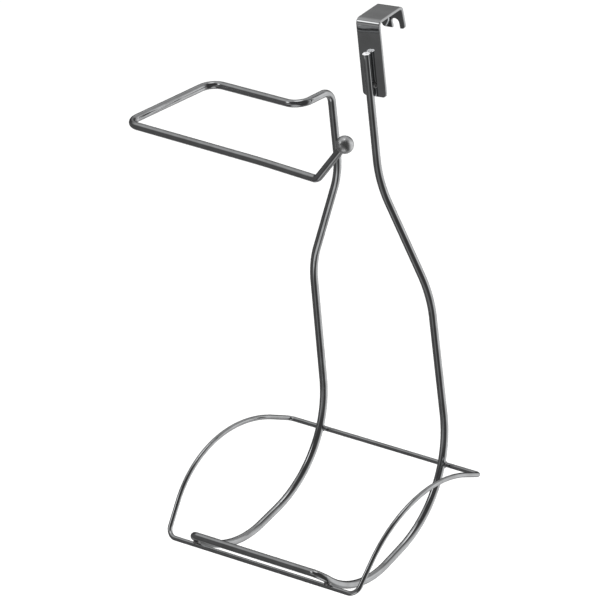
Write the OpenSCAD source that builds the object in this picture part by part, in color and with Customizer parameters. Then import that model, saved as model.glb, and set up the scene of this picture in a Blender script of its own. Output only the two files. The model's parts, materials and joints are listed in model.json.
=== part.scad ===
// Toilet paper holder that hangs over the wall of a cistern.
// A strip hook carries one long bent wire: two uprights, a cradle for a spare roll and a
// dispenser arm with a ball at its tip. A thin wire loop guards the ends of the cradle.
// The origin is the middle of the underside of the hook's top plate, which rests on the wall.
// +Z is up, -Y is towards the user and +X is to the user's right. "Drop" is measured down
// from the seat, "reach" is measured forward from the plane of the uprights, and sideways
// sizes are measured from the middle of the wire frame.

/* [Hook] */
// Width of the flat strip
strip_w = 13.6; // [11:0.2:18]
// Thickness of the strip
strip_t = 1.5; // [1:0.1:2]
// Clear gap between the two legs at the seat, for the cistern wall
rim_gap = 20; // [14:0.5:30]
// Length of the front leg below the seat
front_leg = 39.5; // [35:0.5:50]
// Length of the back leg below the seat, along the leg
back_leg = 11.8; // [11:0.2:20]
// How far the back leg flares away from the wall, in degrees
back_flare = 8; // [0:1:20]
// Inside radius of the two bends in the strip
strip_bend_r = 1.5; // [1:0.1:2.5]
// Radius of the rounded bottom corners
strip_corner_r = 2; // [1:0.1:3]
// Width of the notch in the bottom edge of the back leg
notch_w = 4.4; // [3:0.1:5.4]
// How far the middle of the notch stands to the right of the strip's middle
notch_x = 1.5; // [-2:0.1:2]
// Height of the notch
notch_h = 5.6; // [4:0.1:6.5]
// How far the hook is turned about the vertical, in degrees
hook_turn = 10.5; // [0:0.5:20]
// How far the middle of the strip stands to the right of the wire
hook_offset = 1.1; // [-1.5:0.1:1.5]

/* [Uprights] */
// Diameter of the thick wire
wire_d = 4; // [3.5:0.1:4.5]
// Drop of the wire's cut end on the hook
wire_end_drop = 15.6; // [10:0.1:22]
// Sideways distance of the hook's upright
hook_upright_x = 12.2; // [10:0.1:16]
// Sideways distance of the arm's upright
arm_upright_x = 15.1; // [12:0.1:18]
// Drop of the neck bends, where the uprights start to splay
neck_drop = 85; // [77.5:0.5:92.5]
// Drop of the hip bends, where the splay ends
hip_drop = 140.8; // [132.5:0.1:147.5]
// Sideways distance of the hip bends
hip_x = 40.3; // [36:0.1:42]
// Bend radius of the necks and hips
upright_bend_r = 50; // [20:1:55]

/* [Cradle] */
// Sideways distance of the ends of the crossbar
crossbar_x = 45.4; // [43:0.1:48]
// Drop of the crossbar
crossbar_drop = 252.7; // [249.5:0.1:254.5]
// Reach of the crossbar
crossbar_reach = 101.8; // [101.4:0.1:105]
// Bend radius at the ends of the crossbar
crossbar_bend_r = 6; // [5:0.5:6.5]
// Drop of the back corner of the cradle's outline
back_corner_drop = 249.6; // [247.5:0.1:251.5]
// Drop of the low corner of the cradle's outline
low_corner_drop = 274.5; // [272:0.1:276]
// Reach of the low corner of the cradle's outline
low_corner_reach = 77.5; // [75:0.1:78]
// Radius of the cradle's back curve
cradle_back_r = 60; // [52:1:62]
// Radius of the cradle's front curve
cradle_front_r = 44; // [32:1:45]

/* [Dispenser arm] */
// Drop of the arm
arm_drop = 41.1; // [37.5:0.1:47.5]
// Reach of the back rod
back_rod_reach = 23.3; // [20:0.1:28]
// Reach of the front rod, which carries the roll in use
front_rod_reach = 85.3; // [80:0.1:95]
// Sideways distance of the side rod
side_rod_x = 75.3; // [70:0.1:82]
// How far the corner between the side rod and the front rod stands above the rest of the arm
front_corner_rise = 0.8; // [0:0.1:2]
// Sideways distance of the place where the front rod begins to bow down
rod_bow_x = 18; // [0:1:26]
// How far that place hangs below the arm
rod_bow_sag = 0.2; // [0:0.1:0.6]
// Radius of the bow
rod_bow_r = 600; // [200:50:900]
// Sideways distance of the bend at the tip
tip_bend_x = 54.4; // [48:0.1:58]
// How far the bend at the tip hangs below the arm
tip_bend_sag = 1.5; // [0.9:0.1:3]
// Bend radius of the arm's other corners
arm_bend_r = 8; // [6:0.5:10]
// Bend radius at the top of the arm's upright
arm_corner_r = 6; // [5:0.5:10]
// Bend radius at the tip
tip_bend_r = 5; // [4:0.5:10]
// Angle at which the tip rises
tip_rise = 47; // [30:1:60]
// Distance from the tip's bend to the middle of the ball
tip_len = 31.2; // [24:0.1:36]
// Diameter of the ball
ball_d = 9; // [8:0.5:12]
// Depth of the socket in the ball
socket_depth = 4; // [2:0.5:5]

/* [Basket loop] */
// Diameter of the thin wire
loop_d = 2.5; // [2:0.1:3]
// Sideways distance of the loop's corners
loop_x = 65; // [62:0.5:68]
// Distance of the front rail behind the crossbar, along the cradle wire
front_rail_inset = 7.4; // [7:0.1:9]
// Angle of the back rail below the level of the back curve's centre
back_rail_angle = 25; // [20:1:32]
// Sideways distance of the corner that the side arch is drawn round
arch_x = 71; // [69:0.1:73]
// Drop of that corner
arch_drop = 209.5; // [205.5:0.1:212.5]
// Reach of that corner
arch_reach = 57.6; // [54:0.1:60]
// Radius of the side arch
arch_r = 62; // [50:1:66]
// Bend radius of the two front corners
loop_front_r = 6; // [4:0.5:8]
// Bend radius of the two back corners
loop_back_r = 3; // [2.5:0.1:3.5]

/* [Welds] */
// Radius of the beads between the loop and the thick wire
rail_weld_r = 2.4; // [2:0.1:2.4]
// Radius of the beads between the thick wire and the hook
hook_weld_r = 1.5; // [1:0.1:1.8]
// Drop of the beads on the hook
hook_weld_drop = 33; // [24:0.1:34]

/* [Hidden] */
chrome = "silver";
weld_metal = "gray";

// Steps round a wire or a ball, and round a full turn of a bend
$fn = 64;
wire_steps = 64;
bend_steps = 180;

// How far the notch's cutter runs past the strip
cut = 1;

// The gap that a weld bridges between two touching wires
weld_gap = 0.05;
// The hair's breadth between a straight stretch and its bends
hair = 0.02;
// Half the length of the peg that bridges it
peg = 0.2;
wire_r = wire_d / 2;
loop_r = loop_d / 2;

// Hook: where the wire's axis stands from the middle of the seat
plate_l = rim_gap - 2 * strip_bend_r;
seat_to_wire = rim_gap / 2 + strip_t + wire_r;
frame_x = seat_to_wire * sin(hook_turn) - hook_offset * cos(hook_turn) - hook_upright_x;
frame_y = -seat_to_wire * cos(hook_turn) - hook_offset * sin(hook_turn);

// A place in the part's frame from sideways distance, reach and drop
function place(x, reach, drop) = [frame_x + x, frame_y - reach, -drop];

function unit(v) = v / norm(v);

// The legs widen evenly from the hips to the crossbar. A share is how far along that stretch
// a corner lies.
function leg_x(share) = hip_x + (crossbar_x - hip_x) * share;
back_corner_share = 0.35;
low_corner_share = 0.75;

hip = [hip_x, 0, hip_drop];
back_corner = [leg_x(back_corner_share), 0, back_corner_drop];
low_corner = [leg_x(low_corner_share), low_corner_reach, low_corner_drop];
crossbar_end = [crossbar_x, crossbar_reach, crossbar_drop];

function right(p) = place(p.x, p.y, p.z);
function left(p) = place(-p.x, p.y, p.z);

tip_bend = place(tip_bend_x, front_rod_reach, arm_drop + tip_bend_sag);
tip_way = [cos(tip_rise), 0, sin(tip_rise)];
ball_centre = tip_bend + tip_len * tip_way;
tip_end = ball_centre - (ball_d / 2 - socket_depth) * tip_way;

// The thick wire's corners from the hook to the tip, each with its bend radius
frame_path = [
    [place(hook_upright_x, 0, wire_end_drop), 0],
    [place(hook_upright_x, 0, neck_drop), upright_bend_r],
    [right(hip), upright_bend_r],
    [right(back_corner), cradle_back_r],
    [right(low_corner), cradle_front_r],
    [right(crossbar_end), crossbar_bend_r],
    [left(crossbar_end), crossbar_bend_r],
    [left(low_corner), cradle_front_r],
    [left(back_corner), cradle_back_r],
    [left(hip), upright_bend_r],
    [place(-arm_upright_x, 0, neck_drop), upright_bend_r],
    [place(-arm_upright_x, 0, arm_drop), arm_corner_r],
    [place(-arm_upright_x, back_rod_reach, arm_drop), arm_bend_r],
    [place(-side_rod_x, back_rod_reach, arm_drop), arm_bend_r],
    [place(-side_rod_x, front_rod_reach, arm_drop - front_corner_rise), arm_bend_r],
    [place(rod_bow_x, front_rod_reach, arm_drop + rod_bow_sag), rod_bow_r],
    [tip_bend, tip_bend_r],
    [tip_end, 0]
];

// Front rail: under the cradle wire, just behind the crossbar
rail_clearance = wire_r + loop_r + weld_gap;
cradle_way = unit(right(low_corner) - right(crossbar_end));
cradle_down = unit([0, cradle_way.z, -cradle_way.y]);
front_rail = right(crossbar_end) + front_rail_inset * cradle_way + rail_clearance * cradle_down;

// Back rail: behind the back curve of the cradle, which is round about this centre
curve_turn = acos(unit(right(back_corner) - right(hip)) * unit(right(low_corner) - right(back_corner)));
curve_start_drop = back_corner_drop - cradle_back_r * tan(curve_turn / 2);
rail_arm = cradle_back_r + rail_clearance;
back_rail_reach = cradle_back_r - rail_arm * cos(back_rail_angle);
back_rail_drop = curve_start_drop + rail_arm * sin(back_rail_angle);

// One corner of the loop's outline on the given side, -1 or 1
function rail_corner(side) = [frame_x + side * loop_x, front_rail.y, front_rail.z];
function arch_corner(side) = place(side * arch_x, arch_reach, arch_drop);
function back_corner_of_loop(side) = place(side * loop_x, back_rail_reach, back_rail_drop);

// The thin wire's corners, from the middle of the back rail and round to it again
loop_path = [
    [place(0, back_rail_reach, back_rail_drop), 0],
    [back_corner_of_loop(1), loop_back_r],
    [arch_corner(1), arch_r],
    [rail_corner(1), loop_front_r],
    [rail_corner(-1), loop_front_r],
    [arch_corner(-1), arch_r],
    [back_corner_of_loop(-1), loop_back_r],
    [place(0, back_rail_reach, back_rail_drop), 0]
];

// Direction of travel into and out of a corner, its turn, and how far its bend reaches
function way_in(path, i) = unit(path[i][0] - path[i - 1][0]);
function way_out(path, i) = unit(path[i + 1][0] - path[i][0]);
function turn(path, i) = acos(way_in(path, i) * way_out(path, i));
function is_end(path, i) = i == 0 || i == len(path) - 1;
function setback(path, i) = is_end(path, i) ? 0 : path[i][1] * tan(turn(path, i) / 2);

// A round rod between two points
module rod(from, to, d) {
    way = to - from;
    translate(from)
        rotate([0, acos(way.z / norm(way)), atan2(way.y, way.x)])
            cylinder(h = norm(way), d = d);
}

// A round bend at one corner of a path
module bend(path, i, d) {
    forward = way_in(path, i);
    inward = unit(way_out(path, i) - forward * (forward * way_out(path, i)));
    axis = cross(forward, inward);
    centre = path[i][0] - forward * setback(path, i) + inward * path[i][1];
    multmatrix([
        [-inward.x, forward.x, axis.x, centre.x],
        [-inward.y, forward.y, axis.y, centre.y],
        [-inward.z, forward.z, axis.z, centre.z],
        [0, 0, 0, 1]
    ])
        rotate_extrude(angle = turn(path, i), $fn = bend_steps)
            translate([path[i][1], 0])
                circle(d = d, $fn = wire_steps);
}

// A wire that follows a path of corners. Each straight stretch stops a hair short of its bends,
// and a peg inside the wire bridges the hair, so every round face keeps its true shape.
module bent_wire(path, d) {
    for (i = [0 : len(path) - 2]) {
        way = way_out(path, i);
        from = path[i][0] + way * (is_end(path, i) ? 0 : setback(path, i) + hair);
        to = path[i + 1][0] - way * (is_end(path, i + 1) ? 0 : setback(path, i + 1) + hair);
        rod(from, to, d);
    }
    for (i = [1 : len(path) - 2]) {
        bend(path, i, d);
        for (way = [-way_in(path, i), way_out(path, i)]) {
            joint = path[i][0] + way * setback(path, i);
            rod(joint - way * peg, joint + way * peg, d - 2 * hair);
        }
    }
}

// A flat leg that hangs from z = 0, with rounded bottom corners, its thickness towards +Y
module leg(length) {
    translate([0, strip_t, 0])
        rotate([90, 0, 0])
            linear_extrude(strip_t)
                union() {
                    translate([-strip_w / 2, strip_corner_r - length])
                        square([strip_w, length - strip_corner_r]);
                    translate([strip_corner_r - strip_w / 2, -length])
                        square([strip_w - 2 * strip_corner_r, length]);
                    for (side = [-1, 1]) {
                        translate([side * (strip_w / 2 - strip_corner_r), strip_corner_r - length])
                            circle(strip_corner_r);
                    }
                }
}

// A bend of the strip, from the front end of the top plate down towards the front
module strip_bend(angle) {
    translate([-strip_w / 2, 0, 0])
        rotate([0, -90, 180])
            rotate_extrude(angle = angle)
                translate([strip_bend_r, 0])
                    square([strip_t, strip_w]);
}

// The notch that is open at the bottom edge of a leg
module notch(length) {
    translate([notch_x, strip_t + cut, 0])
        rotate([90, 0, 0])
            linear_extrude(strip_t + 2 * cut)
                union() {
                    translate([-notch_w / 2, -length - cut])
                        square([notch_w, cut + notch_h - notch_w / 2]);
                    translate([0, notch_h - notch_w / 2 - length])
                        circle(d = notch_w);
                }
}

module hook_bracket() {
    color(chrome)
        rotate([0, 0, hook_turn]) {
            translate([-strip_w / 2, -plate_l / 2, 0])
                cube([strip_w, plate_l, strip_t]);
            translate([0, -plate_l / 2, -strip_bend_r])
                strip_bend(90);
            translate([0, -rim_gap / 2 - strip_t, -strip_bend_r])
                leg(front_leg - strip_bend_r);
            translate([0, plate_l / 2, -strip_bend_r]) {
                mirror([0, 1, 0])
                    strip_bend(90 - back_flare);
                rotate([back_flare, 0, 0])
                    translate([0, strip_bend_r, 0])
                        difference() {
                            leg(back_leg - strip_bend_r);
                            notch(back_leg - strip_bend_r);
                        }
            }
        }
}

module frame_wire() {
    color(chrome)
        bent_wire(frame_path, wire_d);
}

module basket_wire() {
    color(chrome)
        bent_wire(loop_path, loop_d);
}

// The ball, with a blind socket for the end of the thick wire
module tip_ball() {
    color(chrome)
        difference() {
            translate(ball_centre)
                sphere(d = ball_d);
            rod(tip_bend, tip_end, wire_d);
        }
}

// A bead on each side of the wire, in the corner between the wire and the strip
module hook_welds() {
    color(weld_metal)
        difference() {
            rotate([0, 0, hook_turn])
                for (side = [-1, 1]) {
                    translate([side * wire_r - hook_offset, -rim_gap / 2 - strip_t, -hook_weld_drop])
                        sphere(hook_weld_r);
                }
            hook_bracket();
            frame_wire();
        }
}

// A bead on the face of a thin rail, with its poles in line with the thick wire. The way
// points from the thick wire to the rail.
module rail_bead(x, rail, way) {
    translate([x, rail.y, rail.z] - loop_r * way)
        rotate([atan2(way.y, -way.z), 0, 0])
            sphere(rail_weld_r);
}

// A bead at each place where the thin loop crosses the thick wire
module rail_welds() {
    front_x = front_rail.x - frame_x;
    back_x = leg_x(back_corner_share);
    back_rail = place(0, back_rail_reach, back_rail_drop);
    back_way = [0, cos(back_rail_angle), -sin(back_rail_angle)];
    color(weld_metal)
        difference() {
            for (side = [-1, 1]) {
                rail_bead(frame_x + side * front_x, front_rail, cradle_down);
                rail_bead(frame_x + side * back_x, back_rail, back_way);
            }
            frame_wire();
            basket_wire();
        }
}

hook_bracket();
frame_wire();
tip_ball();
basket_wire();
hook_welds();
rail_welds();
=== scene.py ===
import json
import math

import bmesh
import bpy
from mathutils import Matrix, Quaternion, Vector, noise

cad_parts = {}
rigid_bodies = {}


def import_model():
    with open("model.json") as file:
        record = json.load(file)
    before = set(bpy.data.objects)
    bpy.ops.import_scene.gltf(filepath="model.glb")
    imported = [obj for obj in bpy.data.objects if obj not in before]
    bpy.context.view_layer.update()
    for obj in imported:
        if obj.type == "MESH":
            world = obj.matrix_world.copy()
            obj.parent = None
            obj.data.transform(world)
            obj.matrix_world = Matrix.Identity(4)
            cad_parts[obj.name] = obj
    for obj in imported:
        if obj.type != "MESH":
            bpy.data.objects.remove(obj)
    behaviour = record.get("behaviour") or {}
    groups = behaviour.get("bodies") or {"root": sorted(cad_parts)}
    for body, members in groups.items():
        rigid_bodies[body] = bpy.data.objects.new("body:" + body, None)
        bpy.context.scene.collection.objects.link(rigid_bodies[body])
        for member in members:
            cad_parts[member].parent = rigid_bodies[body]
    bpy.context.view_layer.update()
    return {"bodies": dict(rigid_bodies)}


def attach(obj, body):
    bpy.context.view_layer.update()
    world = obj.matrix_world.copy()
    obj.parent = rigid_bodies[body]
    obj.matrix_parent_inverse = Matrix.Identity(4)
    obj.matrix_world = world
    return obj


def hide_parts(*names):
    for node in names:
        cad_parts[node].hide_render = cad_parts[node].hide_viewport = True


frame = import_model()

BODY = next(iter(frame["bodies"]))
MM = 0.001

# ---------------------------------------------------------------- sizes of the real object
# Hook
STRIP_W = 13.6
STRIP_T = 1.5
RIM_GAP = 20.0
FRONT_LEG = 39.5
BACK_LEG = 11.8
BACK_FLARE = math.radians(8)
STRIP_BEND_R = 1.5
STRIP_CORNER_R = 2.0
NOTCH_W = 4.4
NOTCH_X = 1.5
NOTCH_H = 5.6
HOOK_TURN = math.radians(10.5)
HOOK_OFFSET = 1.1

# Thick wire
WIRE_R = 2.0
WIRE_END_DROP = 15.6
HOOK_UPRIGHT_X = 12.2
ARM_UPRIGHT_X = 15.1
NECK_DROP = 85.0
HIP_DROP = 140.8
HIP_X = 40.3
UPRIGHT_BEND_R = 50.0
CROSSBAR_X = 45.4
CROSSBAR_DROP = 252.7
CROSSBAR_REACH = 101.8
CROSSBAR_BEND_R = 6.0
BACK_CORNER_DROP = 249.6
BACK_CORNER_SHARE = 0.35
LOW_CORNER_DROP = 274.5
LOW_CORNER_REACH = 77.5
LOW_CORNER_SHARE = 0.75
CRADLE_BACK_R = 60.0
CRADLE_FRONT_R = 44.0
ARM_DROP = 41.1
BACK_ROD_REACH = 23.3
FRONT_ROD_REACH = 85.3
SIDE_ROD_X = 75.3
FRONT_CORNER_RISE = 0.8
ROD_BOW_X = 18.0
ROD_BOW_SAG = 0.2
ROD_BOW_R = 600.0
TIP_BEND_X = 54.4
TIP_BEND_SAG = 1.5
TIP_BEND_R = 5.0
ARM_BEND_R = 8.0
ARM_CORNER_R = 6.0
TIP_RISE = math.radians(47)
TIP_LEN = 31.2
BALL_R = 4.5
SOCKET_DEPTH = 4.0

# Thin wire
LOOP_R = 1.25
LOOP_X = 65.0
FRONT_RAIL_INSET = 7.4
BACK_RAIL_ANGLE = math.radians(25)
ARCH_X = 71.0
ARCH_DROP = 209.5
ARCH_REACH = 57.6
ARCH_R = 62.0
LOOP_FRONT_R = 6.0
LOOP_BACK_R = 3.0
WELD_GAP = 0.05

# Weld beads
RAIL_WELD_R = 2.4
HOOK_WELD_R = 1.5
HOOK_WELD_DROP = 33.0

# The frame stands on the front of the hook, so its middle follows from the hook
HOOK_ROTATION = Matrix.Rotation(HOOK_TURN, 3, "Z")
SEAT_TO_WIRE = RIM_GAP / 2 + STRIP_T + WIRE_R
WIRE_ON_HOOK = HOOK_ROTATION @ Vector((-HOOK_OFFSET, -SEAT_TO_WIRE, 0))
FRAME_X = WIRE_ON_HOOK.x - HOOK_UPRIGHT_X
FRAME_Y = WIRE_ON_HOOK.y
TIP_WAY = Vector((math.cos(TIP_RISE), 0, math.sin(TIP_RISE)))


def place(x, reach, drop):
    """A point from its sideways distance, its reach forward and its drop below the seat."""
    return Vector((FRAME_X + x, FRAME_Y - reach, -drop))


def leg_x(share):
    """Sideways distance of the legs, which widen evenly from the hips to the crossbar."""
    return HIP_X + (CROSSBAR_X - HIP_X) * share


# ---------------------------------------------------------------- routes of the two wires
def tip_bend():
    """The corner where the arm's tip turns up."""
    return place(TIP_BEND_X, FRONT_ROD_REACH, ARM_DROP + TIP_BEND_SAG)


def thick_wire_corners():
    """Corners of the thick wire from the hook to the ball, each with its bend radius."""
    low_x = leg_x(LOW_CORNER_SHARE)
    back_x = leg_x(BACK_CORNER_SHARE)
    tip_end = tip_bend() + (TIP_LEN - BALL_R + SOCKET_DEPTH) * TIP_WAY
    return [
        (place(HOOK_UPRIGHT_X, 0, WIRE_END_DROP), 0),
        (place(HOOK_UPRIGHT_X, 0, NECK_DROP), UPRIGHT_BEND_R),
        (place(HIP_X, 0, HIP_DROP), UPRIGHT_BEND_R),
        (place(back_x, 0, BACK_CORNER_DROP), CRADLE_BACK_R),
        (place(low_x, LOW_CORNER_REACH, LOW_CORNER_DROP), CRADLE_FRONT_R),
        (place(CROSSBAR_X, CROSSBAR_REACH, CROSSBAR_DROP), CROSSBAR_BEND_R),
        (place(-CROSSBAR_X, CROSSBAR_REACH, CROSSBAR_DROP), CROSSBAR_BEND_R),
        (place(-low_x, LOW_CORNER_REACH, LOW_CORNER_DROP), CRADLE_FRONT_R),
        (place(-back_x, 0, BACK_CORNER_DROP), CRADLE_BACK_R),
        (place(-HIP_X, 0, HIP_DROP), UPRIGHT_BEND_R),
        (place(-ARM_UPRIGHT_X, 0, NECK_DROP), UPRIGHT_BEND_R),
        (place(-ARM_UPRIGHT_X, 0, ARM_DROP), ARM_CORNER_R),
        (place(-ARM_UPRIGHT_X, BACK_ROD_REACH, ARM_DROP), ARM_BEND_R),
        (place(-SIDE_ROD_X, BACK_ROD_REACH, ARM_DROP), ARM_BEND_R),
        (place(-SIDE_ROD_X, FRONT_ROD_REACH, ARM_DROP - FRONT_CORNER_RISE), ARM_BEND_R),
        (place(ROD_BOW_X, FRONT_ROD_REACH, ARM_DROP + ROD_BOW_SAG), ROD_BOW_R),
        (tip_bend(), TIP_BEND_R),
        (tip_end, 0),
    ]


def rail_places():
    """The middle of the front rail and of the back rail, and the way from thick wire to rail."""
    clearance = WIRE_R + LOOP_R + WELD_GAP
    low = place(leg_x(LOW_CORNER_SHARE), LOW_CORNER_REACH, LOW_CORNER_DROP)
    end = place(CROSSBAR_X, CROSSBAR_REACH, CROSSBAR_DROP)
    back = place(leg_x(BACK_CORNER_SHARE), 0, BACK_CORNER_DROP)
    hip = place(HIP_X, 0, HIP_DROP)
    cradle_way = (low - end).normalized()
    front_way = Vector((0, cradle_way.z, -cradle_way.y)).normalized()
    front = end + FRONT_RAIL_INSET * cradle_way + clearance * front_way
    turn = (back - hip).angle(low - back)
    curve_start_drop = BACK_CORNER_DROP - CRADLE_BACK_R * math.tan(turn / 2)
    rail_arc_r = CRADLE_BACK_R + clearance
    reach = CRADLE_BACK_R - rail_arc_r * math.cos(BACK_RAIL_ANGLE)
    drop = curve_start_drop + rail_arc_r * math.sin(BACK_RAIL_ANGLE)
    rear = place(leg_x(BACK_CORNER_SHARE), reach, drop)
    rear_way = Vector((0, math.cos(BACK_RAIL_ANGLE), -math.sin(BACK_RAIL_ANGLE)))
    return (front, front_way), (rear, rear_way)


def loop_corners():
    """Corners of the thin loop, from the middle of its back rail round to the same point."""
    (front, _), (rear, _) = rail_places()
    middle = Vector((FRAME_X, rear.y, rear.z))

    def one_side(side):
        return [
            (Vector((FRAME_X + side * LOOP_X, rear.y, rear.z)), LOOP_BACK_R),
            (place(side * ARCH_X, ARCH_REACH, ARCH_DROP), ARCH_R),
            (Vector((FRAME_X + side * LOOP_X, front.y, front.z)), LOOP_FRONT_R),
        ]

    return [(middle, 0)] + one_side(1) + one_side(-1)[::-1] + [(middle, 0)]


BEND_STEP = math.radians(1.5)
FEWEST_BEND_STEPS = 4
STRAIGHT_STEP = 3.0


def stations(corners):
    """Points along a bent wire: (point, way, direction to the bend's centre, how far into it).

    How far is 0 on a straight stretch and 1 in the middle of a tight bend.
    """
    made = []
    points = [corner[0] for corner in corners]
    start = points[0]
    for i in range(1, len(corners)):
        way = (points[i] - points[i - 1]).normalized()
        radius = corners[i][1]
        turn = setback = 0
        if i < len(corners) - 1:
            onward = (points[i + 1] - points[i]).normalized()
            turn = way.angle(onward)
            setback = radius * math.tan(turn / 2)
        end = points[i] - way * setback
        steps = max(1, round((end - start).length / STRAIGHT_STEP))
        side = way.orthogonal().normalized()
        made += [(start.lerp(end, k / steps), way, side, 0.0) for k in range(steps)]
        if not turn:
            made.append((end, way, side, 0.0))
            continue
        axis = way.cross(onward).normalized()
        inward = axis.cross(way)
        centre = end + inward * radius
        tightness = min(1.0, ARM_BEND_R / radius) ** 2
        steps = max(FEWEST_BEND_STEPS, round(turn / BEND_STEP))
        for k in range(steps):
            swing = Quaternion(axis, turn * k / steps)
            depth = tightness * math.sin(math.pi * k / steps) ** 2
            made.append((centre - swing @ inward * radius, swing @ way, swing @ inward, depth))
        start = centre - Quaternion(axis, turn) @ inward * radius
    return made


# ---------------------------------------------------------------- meshes
# Points closer than this, in metres, are joined
MERGE_DISTANCE = 1e-7


def new_piece(name, points, faces, material, node=None):
    """A smooth mesh piece that rides on the body and stands for the CAD node, if one is given."""
    mesh = bpy.data.meshes.new(name)
    mesh.from_pydata([p * MM for p in points], [], faces)
    mesh.validate()
    bm = bmesh.new()
    bm.from_mesh(mesh)
    bmesh.ops.remove_doubles(bm, verts=bm.verts, dist=MERGE_DISTANCE)
    bmesh.ops.recalc_face_normals(bm, faces=bm.faces)
    bm.to_mesh(mesh)
    bm.free()
    mesh.shade_smooth()
    obj = bpy.data.objects.new(name, mesh)
    bpy.context.scene.collection.objects.link(obj)
    mesh.materials.append(material)
    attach(obj, BODY)
    if node:
        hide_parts(node)
    return obj


# How much thinner a wire is across a tight bend, as a share of its radius
SQUEEZE = 0.05

# A wire's cut end. Each ring has its height over the chamfer's foot and its share of the radius
END_CHAMFER = 0.3
CUT_RINGS = (
    (END_CHAMFER, 0.93),
    (END_CHAMFER + 0.06, 0.78),
    (END_CHAMFER + 0.02, 0.5),
    (END_CHAMFER, 0.2),
)
CUT_ROUGHNESS = 0.32
CUT_NOISE_SCALE = 2

# A face belongs to the cut if its normal has more than this share along the wire
CUT_FACING = 0.3

WIRE_SIDES = 40
LOOP_SIDES = 32
WIRE_SHARP_ANGLE = math.radians(35)


def directions_across(ways, closed):
    """A sideways direction for each way along a wire, carried on without a twist.

    A closed wire spreads the twist that is left over at its seam.
    """
    across = ways[0].orthogonal().normalized()
    carried = []
    for i, way in enumerate(ways):
        if i:
            across = ways[i - 1].rotation_difference(way) @ across
        across = (across - way * across.dot(way)).normalized()
        carried.append(across)
    twist = 0.0
    if closed:
        first = carried[0]
        last = ways[-1].rotation_difference(ways[0]) @ carried[-1]
        twist = math.atan2(ways[0].dot(last.cross(first)), last.dot(first))
    return [
        Quaternion(way, twist * i / len(ways)) @ across
        for i, (way, across) in enumerate(zip(ways, carried))
    ]


def wire_ring(station, across, size, sides):
    """One ring of points round a wire, squeezed towards the bend's centre."""
    point, way, inward, depth = station
    up = way.cross(across)
    made = []
    for k in range(sides):
        angle = 2 * math.pi * k / sides
        out = across * math.cos(angle) + up * math.sin(angle)
        squeezed = out - inward * out.dot(inward) * SQUEEZE * depth
        made.append(point + squeezed * size)
    return made


def ring_faces(low, high, sides):
    """Faces between two rings, each given by the index of its first point."""
    made = []
    for k in range(sides):
        after = (k + 1) % sides
        made.append((low + k, low + after, high + after, high + k))
    return made


def add_cut_end(points, faces, rim, station, across, outward, radius, sides):
    """Close a wire with a chamfer and a rough face. The rim is the last ring's first point."""
    point, way, inward, _ = station
    for height, share in CUT_RINGS:
        start = len(points)
        raised = (point + way * outward * height, way, inward, 0)
        for p in wire_ring(raised, across, radius * share, sides):
            points.append(p + way * noise.noise(p * CUT_NOISE_SCALE) * CUT_ROUGHNESS)
        faces += ring_faces(rim, start, sides)
        rim = start
    faces.append(tuple(range(rim, rim + sides)))


def tube(name, corners, radius, sides, material, node, closed=False):
    """A round wire along a route. Tight bends are squeezed a little, as a bending tool does."""
    line = stations(corners)
    if closed:
        line.pop()
    else:
        for i, inwards in ((0, 1), (-1, -1)):
            point, way, side, depth = line[i]
            line[i] = (point + way * inwards * END_CHAMFER, way, side, depth)
    across = directions_across([station[1] for station in line], closed)
    points, faces = [], []
    for station, sideways in zip(line, across):
        points += wire_ring(station, sideways, radius, sides)
    count = len(line)
    for i in range(count if closed else count - 1):
        faces += ring_faces(i * sides, (i + 1) % count * sides, sides)
    if not closed:
        for i, outward in ((0, -1), (count - 1, 1)):
            add_cut_end(points, faces, i * sides, line[i], across[i], outward, radius, sides)
    obj = new_piece(name, points, faces, material, node)
    obj.data.set_sharp_from_angle(angle=WIRE_SHARP_ANGLE)
    return obj


def finish_cut_end(obj, end, way, material):
    """Give the faces of a wire's cut end their own finish."""
    obj.data.materials.append(material)
    for face in obj.data.polygons:
        near = (face.center / MM - end).length < WIRE_R
        if near and abs(face.normal.dot(way)) > CUT_FACING:
            face.material_index = 1


def lathe(profile, centre, way, steps):
    """Points and faces of a turned shape. The profile holds (radius, height along the way).

    Its first and last points are poles on the axis, where the faces are triangles.
    """
    side = way.orthogonal().normalized()
    other = way.cross(side)
    points, faces, rows = [], [], []
    for radius, height in profile:
        if radius == 0:
            rows.append([len(points)] * steps)
            points.append(centre + way * height)
            continue
        rows.append(list(range(len(points), len(points) + steps)))
        for k in range(steps):
            angle = 2 * math.pi * k / steps
            out = side * math.cos(angle) + other * math.sin(angle)
            points.append(centre + way * height + out * radius)
    for low, high in zip(rows, rows[1:]):
        for k in range(steps):
            after = (k + 1) % steps
            faces.append(tuple(dict.fromkeys((low[k], low[after], high[after], high[k]))))
    return points, faces


# The fillet where the ball meets the wire, and the room between the wire and its socket
FILLET_R = 0.55
SOCKET_PLAY = 0.02
FILLET_STEPS = 8
BALL_STEPS = 60
BALL_SIDES = 72
BALL_SHARP_ANGLE = math.radians(50)


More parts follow.
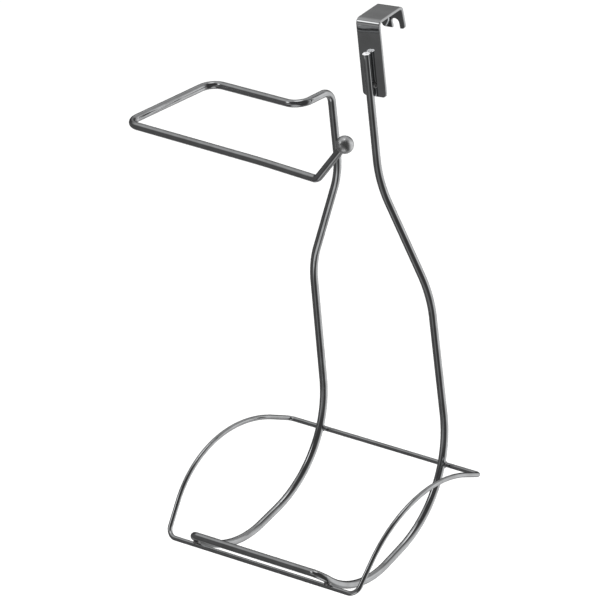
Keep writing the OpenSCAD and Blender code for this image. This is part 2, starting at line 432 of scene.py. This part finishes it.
def ball(material):
    """The turned ball with its socket and a small fillet round the wire."""
    socket_r = WIRE_R + SOCKET_PLAY
    fillet_x = socket_r + FILLET_R
    fillet_z = -math.sqrt((BALL_R + FILLET_R)**2 - fillet_x**2)
    meet = math.atan2(fillet_x, -fillet_z)
    profile = [(0, SOCKET_DEPTH - BALL_R), (socket_r, SOCKET_DEPTH - BALL_R)]
    for k in range(FILLET_STEPS + 1):
        angle = (math.pi / 2 - meet) * k / FILLET_STEPS
        across = fillet_x - FILLET_R * math.cos(angle)
        profile.append((across, fillet_z + FILLET_R * math.sin(angle)))
    for k in range(1, BALL_STEPS):
        angle = meet + (math.pi - meet) * k / BALL_STEPS
        profile.append((BALL_R * math.sin(angle), -BALL_R * math.cos(angle)))
    profile.append((0, BALL_R))
    points, faces = lathe(profile, tip_bend() + TIP_WAY * TIP_LEN, TIP_WAY, BALL_SIDES)
    obj = new_piece("tip_ball_turned", points, faces, material, "tip_ball")
    obj.data.set_sharp_from_angle(angle=BALL_SHARP_ANGLE)
    return obj


# A bead's own shape: its mean size, and the scale and depth of its lumps and ripples
BEAD_MEAN = 0.94
BEAD_NOISES = ((1.6, 0.16), (5.0, 0.05))
BEAD_SEED_SHIFT = (7.3, 3.1, 5.7)
BEAD_SUBDIVISIONS = 5
FIRST_HOOK_SEED = 1
FIRST_RAIL_SEED = 3
SIDES = (("left", -1), ("right", 1))

# Half widths of a bead along X, Y and Z as shares of its weld's radius
HOOK_BEAD_SHAPE = (0.9, 0.9, 1.25)
RAIL_BEAD_SHAPE = (0.8, 0.8, 0.8)


def bead(name, centre, size, seed, material, node=None):
    """A lumpy weld bead. Its size is its half width along X, Y and Z."""
    bm = bmesh.new()
    bmesh.ops.create_icosphere(bm, subdivisions=BEAD_SUBDIVISIONS, radius=1.0)
    shift = Vector([seed * step for step in BEAD_SEED_SHIFT])
    points = []
    for vert in bm.verts:
        swell = BEAD_MEAN
        for scale, depth in BEAD_NOISES:
            swell += noise.noise(vert.co * scale + shift) * depth
        out = vert.co * swell
        points.append(centre + Vector([o * s for o, s in zip(out, size)]))
    faces = [tuple(vert.index for vert in face.verts) for face in bm.faces]
    bm.free()
    return new_piece(name, points, faces, material, node)


def hook_beads(material):
    """The beads on both sides of the wire on the hook. The first stands for the CAD node."""
    size = [HOOK_WELD_R * share for share in HOOK_BEAD_SHAPE]
    front_face = -RIM_GAP / 2 - STRIP_T
    made = []
    for seed, (side_name, side) in enumerate(SIDES, FIRST_HOOK_SEED):
        on_hook = Vector((side * WIRE_R - HOOK_OFFSET, front_face, -HOOK_WELD_DROP))
        centre = HOOK_ROTATION @ on_hook
        node = None if made else "hook_welds"
        made.append(bead("hook_weld_" + side_name, centre, size, seed, material, node))
    return made


def rail_beads(material):
    """The beads where the loop crosses the thick wire. The first stands for the CAD node."""
    size = [RAIL_WELD_R * share for share in RAIL_BEAD_SHAPE]
    made = []
    seed = FIRST_RAIL_SEED
    for rail_name, (rail, way) in zip(("front", "back"), rail_places()):
        for side_name, side in SIDES:
            touch = rail - way * LOOP_R
            touch.x = FRAME_X + side * (rail.x - FRAME_X)
            name = f"rail_weld_{rail_name}_{side_name}"
            node = None if made else "rail_welds"
            made.append(bead(name, touch, size, seed, material, node))
            seed += 1
    return made


# Strip: a flat blank that is folded. A row holds its place along the blank and how far the metal
# reaches sideways, from the notch's edge (0 where there is no notch) to the outer edge.
EDGE_R = 0.28
EDGE_STEPS = 4
CORNER_STEPS = 9
LEG_STEPS = 12
TOP_STEPS = 6
FOLD_STEPS = 16
LAST_STEPS = 3
NOTCH_STEPS = 2

# Rows this far beside a fold and before the notch keep the shading of the flats even
BESIDE_FOLD = 0.15
BEFORE_NOTCH = 0.3

# Places of the columns, as shares of the way from the notch's edge to the outer edge
COLUMNS = (0.0, 0.06, 0.25, 0.5, 0.75, 0.94, 1.0)

# Places along the blank where a flat meets a fold, and the blank's whole length
FRONT_FOLD_START = FRONT_LEG - STRIP_BEND_R
FRONT_FOLD_END = FRONT_FOLD_START + math.pi / 2 * STRIP_BEND_R
BACK_FOLD_START = FRONT_FOLD_END + RIM_GAP - 2 * STRIP_BEND_R
BACK_FOLD_END = BACK_FOLD_START + (math.pi / 2 - BACK_FLARE) * STRIP_BEND_R
BLANK_LEN = BACK_FOLD_END + BACK_LEG - STRIP_BEND_R


def fold(along, height):
    """Where a point of the blank lands, as (y, z). Its height is measured from the inner face."""
    half = RIM_GAP / 2
    middle = half - STRIP_BEND_R
    radius = STRIP_BEND_R + height
    if along <= FRONT_FOLD_START:
        return -half - height, along - FRONT_LEG
    if along <= FRONT_FOLD_END:
        angle = (along - FRONT_FOLD_START) / STRIP_BEND_R
        return -middle - radius * math.cos(angle), -STRIP_BEND_R + radius * math.sin(angle)
    if along <= BACK_FOLD_START:
        return along - FRONT_FOLD_END - middle, height
    angle = (min(along, BACK_FOLD_END) - BACK_FOLD_START) / STRIP_BEND_R
    y = middle + radius * math.sin(angle)
    z = -STRIP_BEND_R + radius * math.cos(angle)
    past = max(0, along - BACK_FOLD_END)
    return y + past * math.cos(angle), z - past * math.sin(angle)


def spread(low, high, steps):
    """Evenly spaced values after the low one, up to and with the high one."""
    return [low + (high - low) * k / steps for k in range(1, steps + 1)]


def blank_rows(inset):
    """Rows of the blank with its whole outline moved in: (place along, notch edge, outer edge)."""
    corner = STRIP_CORNER_R - inset
    edge = STRIP_W / 2 - inset
    flat = STRIP_W / 2 - STRIP_CORNER_R
    notch_r = NOTCH_W / 2 + inset
    notch_centre = BLANK_LEN - NOTCH_H + NOTCH_W / 2
    quarter = [math.pi / 2 * k / CORNER_STEPS for k in range(CORNER_STEPS + 1)]
    rows = []
    for angle in quarter:
        rows.append((STRIP_CORNER_R - corner * math.cos(angle), 0, flat + corner * math.sin(angle)))
    stretches = (
        (FRONT_FOLD_START - BESIDE_FOLD, LEG_STEPS),
        (FRONT_FOLD_START, 1),
        (FRONT_FOLD_END, FOLD_STEPS),
        (FRONT_FOLD_END + BESIDE_FOLD, 1),
        (BACK_FOLD_START - BESIDE_FOLD, TOP_STEPS),
        (BACK_FOLD_START, 1),
        (BACK_FOLD_END, FOLD_STEPS),
        (BACK_FOLD_END + BESIDE_FOLD, 1),
        (notch_centre - NOTCH_W / 2 - EDGE_R - BEFORE_NOTCH, LAST_STEPS),
    )
    start = STRIP_CORNER_R
    for stop, steps in stretches:
        rows += [(along, 0, edge) for along in spread(start, stop, steps)]
        start = stop
    for angle in quarter:
        rows.append((notch_centre - notch_r * math.cos(angle), notch_r * math.sin(angle), edge))
    end = BLANK_LEN - STRIP_CORNER_R
    rows += [(along, notch_r, edge) for along in spread(notch_centre, end, NOTCH_STEPS)]
    for angle in quarter[1:]:
        rows.append((end + corner * math.sin(angle), notch_r, flat + corner * math.cos(angle)))
    return rows


def strip_layer(points, inset, height):
    """Add one layer of the folded strip. Returns its indices by side, row and column."""
    index = {}
    for r, (along, inner, outer) in enumerate(blank_rows(inset)):
        y, z = fold(along, height)
        for c, share in enumerate(COLUMNS):
            for side in (-1, 1):
                start = NOTCH_X + side * inner
                x = start + (side * outer - start) * share
                index[side, r, c] = len(points)
                points.append(HOOK_ROTATION @ Vector((x, y, z)))
    return index


def strip_rim():
    """The blank's outline, once round, as side, row and column."""
    outline = blank_rows(0)
    rows = len(outline)
    notch_row = next(r for r, row in enumerate(outline) if row[1] > 0) - 1
    last = len(COLUMNS) - 1
    rim = [(1, r, last) for r in range(rows)]
    rim += [(1, rows - 1, c) for c in range(last - 1, -1, -1)]
    rim += [(1, r, 0) for r in range(rows - 2, notch_row, -1)]
    rim += [(-1, r, 0) for r in range(notch_row, rows)]
    rim += [(-1, rows - 1, c) for c in range(1, last + 1)]
    rim += [(-1, r, last) for r in range(rows - 2, -1, -1)]
    rim += [(-1, 0, c) for c in range(last - 1, -1, -1)]
    rim += [(1, 0, c) for c in range(1, last)]
    return rim


def strip(material):
    """The folded strip with rounded edges."""
    points, faces = [], []
    quarter = [math.pi / 2 * k / EDGE_STEPS for k in range(EDGE_STEPS + 1)]
    edge = [(EDGE_R * (1 - math.sin(a)), EDGE_R * (1 - math.cos(a))) for a in quarter]
    levels = edge + [(inset, STRIP_T - height) for inset, height in reversed(edge)]
    layers = [strip_layer(points, inset, height) for inset, height in levels]
    for grid in (layers[0], layers[-1]):
        for side in (-1, 1):
            for r in range(len(blank_rows(0)) - 1):
                for c in range(len(COLUMNS) - 1):
                    corners = ((r, c), (r, c + 1), (r + 1, c + 1), (r + 1, c))
                    faces.append(tuple(grid[side, *corner] for corner in corners))
    rim = strip_rim()
    for low, high in zip(layers, layers[1:]):
        for here, there in zip(rim, rim[1:] + rim[:1]):
            faces.append((low[here], low[there], high[there], high[here]))
    # Between its two faces the strip has points only at its rim, so the others are dropped
    used = sorted({i for face in faces for i in face})
    number = {old: new for new, old in enumerate(used)}
    points = [points[i] for i in used]
    faces = [tuple(number[i] for i in face) for face in faces]
    obj = new_piece("hook_strip", points, faces, material, "hook_bracket")
    # The large flats decide the shading of the narrow edges beside them
    weigh = obj.modifiers.new("even_normals", "WEIGHTED_NORMAL")
    weigh.weight = 100
    return obj


# ---------------------------------------------------------------- materials
def nodes_of(material):
    material.use_nodes = True
    tree = material.node_tree
    tree.nodes.clear()
    return tree


def link(tree, source, target):
    tree.links.new(source, target)


def add(tree, kind, **values):
    """A shader node with its properties or its inputs set by name."""
    node = tree.nodes.new(kind)
    for key, value in values.items():
        if hasattr(node, key):
            setattr(node, key, value)
        else:
            node.inputs[key.replace("_", " ")].default_value = value
    return node


def noise_node(tree, coordinates, scale, detail):
    """Noise in the object's own metres. Scale is in features per metre."""
    made = add(tree, "ShaderNodeTexNoise", Scale=scale, Detail=detail)
    link(tree, coordinates, made.inputs["Vector"])
    return made.outputs["Fac"]


# Most values of a noise lie between these two
NOISE_LOW = 0.35
NOISE_HIGH = 0.65


def remap(tree, value, low, high, start=NOISE_LOW, end=NOISE_HIGH):
    """Stretch a value from the range start to end over the range low to high."""
    made = add(tree, "ShaderNodeMapRange")
    made.inputs["From Min"].default_value = start
    made.inputs["From Max"].default_value = end
    made.inputs["To Min"].default_value = low
    made.inputs["To Max"].default_value = high
    link(tree, value, made.inputs["Value"])
    return made.outputs["Result"]


# Sockets of a mix node that mixes colours
MIX_SHARE = 0
MIX_FIRST = 6
MIX_SECOND = 7
MIX_RESULT = 2


def mixed(tree, share, first, second):
    """The first colour where the share is 0, and the second where it is 1."""
    made = add(tree, "ShaderNodeMix", data_type="RGBA")
    link(tree, share, made.inputs[MIX_SHARE])
    made.inputs[MIX_FIRST].default_value = (*first, 1)
    made.inputs[MIX_SECOND].default_value = (*second, 1)
    return made.outputs[MIX_RESULT]


def added(tree, one, two):
    made = add(tree, "ShaderNodeMath", operation="ADD")
    link(tree, one, made.inputs[0])
    link(tree, two, made.inputs[1])
    return made.outputs[0]


def surface(tree, source):
    """Make a shader the surface of its material."""
    made = add(tree, "ShaderNodeOutputMaterial")
    link(tree, source, made.inputs["Surface"])


# Scale (features per metre) and detail of the noises in the plate
HAZE = (140, 4)
GRAIN = (2600, 2)
WAVES = (110, 1)
PITS = (1500, 3)


def chrome(name, light, dark, smooth, rough, wave, pit, metallic=1.0):
    """Chrome plate: slow waves in the surface, haze in patches and fine pits.

    smooth and rough are the roughness of clear and hazy plate. wave and pit are the depths of
    the waves and the pits in metres.
    """
    material = bpy.data.materials.new(name)
    tree = nodes_of(material)
    where = add(tree, "ShaderNodeTexCoord").outputs["Object"]
    shader = add(tree, "ShaderNodeBsdfPrincipled", Metallic=metallic)
    haze = noise_node(tree, where, *HAZE)
    grain = noise_node(tree, where, *GRAIN)
    waves = noise_node(tree, where, *WAVES)
    pits = noise_node(tree, where, *PITS)
    link(tree, mixed(tree, remap(tree, haze, 0, 1), light, dark), shader.inputs["Base Color"])
    rough_here = added(tree, remap(tree, haze, smooth, rough), remap(tree, grain, 0, smooth))
    link(tree, rough_here, shader.inputs["Roughness"])
    bump = add(tree, "ShaderNodeBump", Strength=1.0, Distance=1.0)
    height = added(tree, remap(tree, waves, 0, wave, 0, 1), remap(tree, pits, 0, pit, 0, 1))
    link(tree, height, bump.inputs["Height"])
    link(tree, bump.outputs["Normal"], shader.inputs["Normal"])
    surface(tree, shader.outputs["BSDF"])
    return material


FLOOR_CLOUDS = (3, 2)


def pale_floor():
    """A matt, nearly even pale grey."""
    material = bpy.data.materials.new("pale_floor")
    tree = nodes_of(material)
    where = add(tree, "ShaderNodeTexCoord").outputs["Object"]
    shader = add(tree, "ShaderNodeBsdfPrincipled", Roughness=0.9)
    shader.inputs["Specular IOR Level"].default_value = 0.1
    clouds = noise_node(tree, where, *FLOOR_CLOUDS)
    colour = mixed(tree, remap(tree, clouds, 0, 1), (0.86, 0.86, 0.86), (0.84, 0.84, 0.84))
    link(tree, colour, shader.inputs["Base Color"])
    surface(tree, shader.outputs["BSDF"])
    return material


# ---------------------------------------------------------------- the object
def build():
    """Make every piece and list it by its CAD node."""
    wire_chrome = chrome(
        "wire_chrome", light=(0.62, 0.63, 0.64), dark=(0.52, 0.525, 0.53),
        smooth=0.02, rough=0.06, wave=3e-5, pit=2e-7,
    )
    strip_chrome = chrome(
        "strip_chrome", light=(0.60, 0.61, 0.62), dark=(0.54, 0.545, 0.55),
        smooth=0.015, rough=0.05, wave=2e-5, pit=1e-7,
    )
    ball_chrome = chrome(
        "ball_chrome", light=(0.92, 0.93, 0.94), dark=(0.55, 0.555, 0.56),
        smooth=0.18, rough=0.34, wave=1.4e-4, pit=4e-6,
    )
    weld_chrome = chrome(
        "weld_chrome", light=(0.52, 0.52, 0.53), dark=(0.36, 0.35, 0.35),
        smooth=0.14, rough=0.30, wave=8e-5, pit=3e-6,
    )
    cut_metal = chrome(
        "cut_metal", light=(0.95, 0.95, 0.96), dark=(0.75, 0.75, 0.76),
        smooth=0.22, rough=0.45, wave=6e-5, pit=3e-4, metallic=0.3,
    )
    hook = strip(strip_chrome)
    route = thick_wire_corners()
    wire = tube("main_wire", route, WIRE_R, WIRE_SIDES, wire_chrome, "frame_wire")
    tip = ball(ball_chrome)
    loop = tube(
        "basket_loop", loop_corners(), LOOP_R, LOOP_SIDES, wire_chrome, "basket_wire", closed=True
    )
    upper_end = route[0][0]
    finish_cut_end(wire, upper_end, Vector((0, 0, 1)), cut_metal)
    made = {
        "hook_bracket": [hook],
        "frame_wire": [wire],
        "tip_ball": [tip],
        "basket_wire": [loop],
        "hook_welds": hook_beads(weld_chrome),
        "rail_welds": rail_beads(weld_chrome),
    }


build()

# ---------------------------------------------------------------- stage, lights and camera
# Distances and sizes from here on are metres, and angles are degrees
CAMERA_AZIMUTH = 45.3
CAMERA_ELEVATION = 23.5
CAMERA_LEAN = 5.95
CAMERA_DISTANCE = 4.0
CAMERA_LENS = 480
CAMERA_SENSOR = 36

# The point that the camera looks at, where the light tent has its middle
AIM = place(-9.5, 42.24, 138.3) * MM

FLOOR_Z = -0.62
FLOOR_SIZE = 40.0
TENT_RADIUS = 2.6
TENT_SUBDIVISIONS = 5


def stage_piece(name, mesh, material):
    """An object of the set, which isn't part of the model."""
    obj = bpy.data.objects.new(name, mesh)
    bpy.context.scene.collection.objects.link(obj)
    mesh.materials.append(material)
    return obj


def floor():
    """A pale floor that the chrome doesn't mirror."""
    half = FLOOR_SIZE / 2
    corners = [(x * half, y * half, FLOOR_Z) for x, y in ((-1, -1), (1, -1), (1, 1), (-1, 1))]
    mesh = bpy.data.meshes.new("floor")
    mesh.from_pydata(corners, [], [(0, 1, 2, 3)])
    obj = stage_piece("floor", mesh, pale_floor())
    obj.visible_glossy = False


def direction(azimuth, elevation):
    """Unit vector from the object. Azimuth 0 is towards -Y and 90 towards +X."""
    turn = math.radians(azimuth)
    rise = math.radians(elevation)
    level = math.cos(rise)
    return Vector((math.sin(turn) * level, -math.cos(turn) * level, math.sin(rise)))


# Brightness of the dim room, and its soft panels: azimuth from the camera, elevation, half
# width, softness (all in degrees) and brightness
ROOM_GLOW = 0.06
PANELS = (
    (101, -12, 38, 18, 0.67),
    (82, 26, 18, 14, 0.40),
    (130, -50, 25, 15, 0.25),
    (135, 52, 30, 12, 0.30),
    (-125, 58, 24, 14, 0.44),
    (-178, 36, 16, 10, 0.25),
    (-60, 0, 16, 10, 0.25),
    (-27, -18, 18, 12, 0.15),
    (-25, -52, 20, 8, 0.60),
    (-160, -45, 25, 14, 0.20),
    (-100, 0, 40, 20, 0.05),
    (0, -90, 30, 12, 0.12),
    (0, 90, 12, 6, 1.3),
    (-77, 39, 9, 5, 1.6),
)


def panel_glow(tree, way, azimuth, elevation, half, soft, brightness):
    """Brightness of one round panel, seen along the way given."""
    facing = add(tree, "ShaderNodeVectorMath", operation="DOT_PRODUCT")
    link(tree, way, facing.inputs[0])
    facing.inputs[1].default_value = direction(CAMERA_AZIMUTH + azimuth, elevation)
    angle = add(tree, "ShaderNodeMath", operation="ARCCOSINE")
    link(tree, facing.outputs["Value"], angle.inputs[0])
    shade = add(tree, "ShaderNodeMapRange", interpolation_type="SMOOTHSTEP")
    shade.inputs["From Min"].default_value = math.radians(half - soft)
    shade.inputs["From Max"].default_value = math.radians(half + soft)
    shade.inputs["To Min"].default_value = brightness
    shade.inputs["To Max"].default_value = 0
    link(tree, angle.outputs[0], shade.inputs["Value"])
    return shade.outputs["Result"]


def studio_glow():
    """Emission of the dim room with its soft bright panels."""
    material = bpy.data.materials.new("studio_glow")
    tree = nodes_of(material)
    where = add(tree, "ShaderNodeTexCoord").outputs["Object"]
    way = add(tree, "ShaderNodeVectorMath", operation="NORMALIZE")
    link(tree, where, way.inputs[0])
    total = None
    for panel in PANELS:
        part = panel_glow(tree, way.outputs["Vector"], *panel)
        total = added(tree, total, part) if total else part
    strength = add(tree, "ShaderNodeMath", operation="ADD")
    link(tree, total, strength.inputs[0])
    strength.inputs[1].default_value = ROOM_GLOW
    shine = add(tree, "ShaderNodeEmission")
    link(tree, strength.outputs[0], shine.inputs["Strength"])
    surface(tree, shine.outputs["Emission"])
    return material


def studio_tent():
    """A light tent round the set that is seen only in the chrome."""
    bm = bmesh.new()
    bmesh.ops.create_icosphere(bm, subdivisions=TENT_SUBDIVISIONS, radius=TENT_RADIUS)
    mesh = bpy.data.meshes.new("studio_tent")
    bm.to_mesh(mesh)
    bm.free()
    obj = stage_piece("studio_tent", mesh, studio_glow())
    obj.location = AIM
    obj.visible_camera = False
    obj.visible_diffuse = False
    obj.visible_shadow = False
    obj.visible_transmission = False


def soft_light(name, azimuth, elevation, distance, size, power):
    """A round light that faces the object and isn't mirrored in the chrome."""
    data = bpy.data.lights.new(name, "AREA")
    data.shape = "DISK"
    data.size = size
    data.energy = power
    obj = bpy.data.objects.new(name, data)
    bpy.context.scene.collection.objects.link(obj)
    way = direction(azimuth, elevation)
    obj.location = AIM + way * distance
    obj.rotation_mode = "QUATERNION"
    obj.rotation_quaternion = way.to_track_quat("Z", "Y")
    obj.visible_glossy = False


def camera():
    data = bpy.data.cameras.new("camera")
    data.sensor_width = CAMERA_SENSOR
    data.lens = CAMERA_LENS
    obj = bpy.data.objects.new("camera", data)
    bpy.context.scene.collection.objects.link(obj)
    way = direction(CAMERA_AZIMUTH, CAMERA_ELEVATION)
    obj.location = AIM + way * CAMERA_DISTANCE
    look = way.to_track_quat("Z", "Y")
    obj.rotation_mode = "QUATERNION"
    obj.rotation_quaternion = look @ Quaternion((0, 0, 1), -math.radians(CAMERA_LEAN))
    bpy.context.scene.camera = obj


def world():
    """Even white light from all round."""
    made = bpy.data.worlds.new("studio")
    bpy.context.scene.world = made
    made.use_nodes = True
    back = made.node_tree.nodes["Background"]
    back.inputs["Color"].default_value = (1, 1, 1, 1)
    back.inputs["Strength"].default_value = 1.0


floor()
world()
camera()
studio_tent()
soft_light("key", azimuth=CAMERA_AZIMUTH - 40, elevation=60, distance=2.5, size=2.0, power=40)
soft_light("fill", azimuth=CAMERA_AZIMUTH + 60, elevation=45, distance=2.5, size=2.0, power=20)
bpy.context.scene.view_settings.view_transform = "Standard"
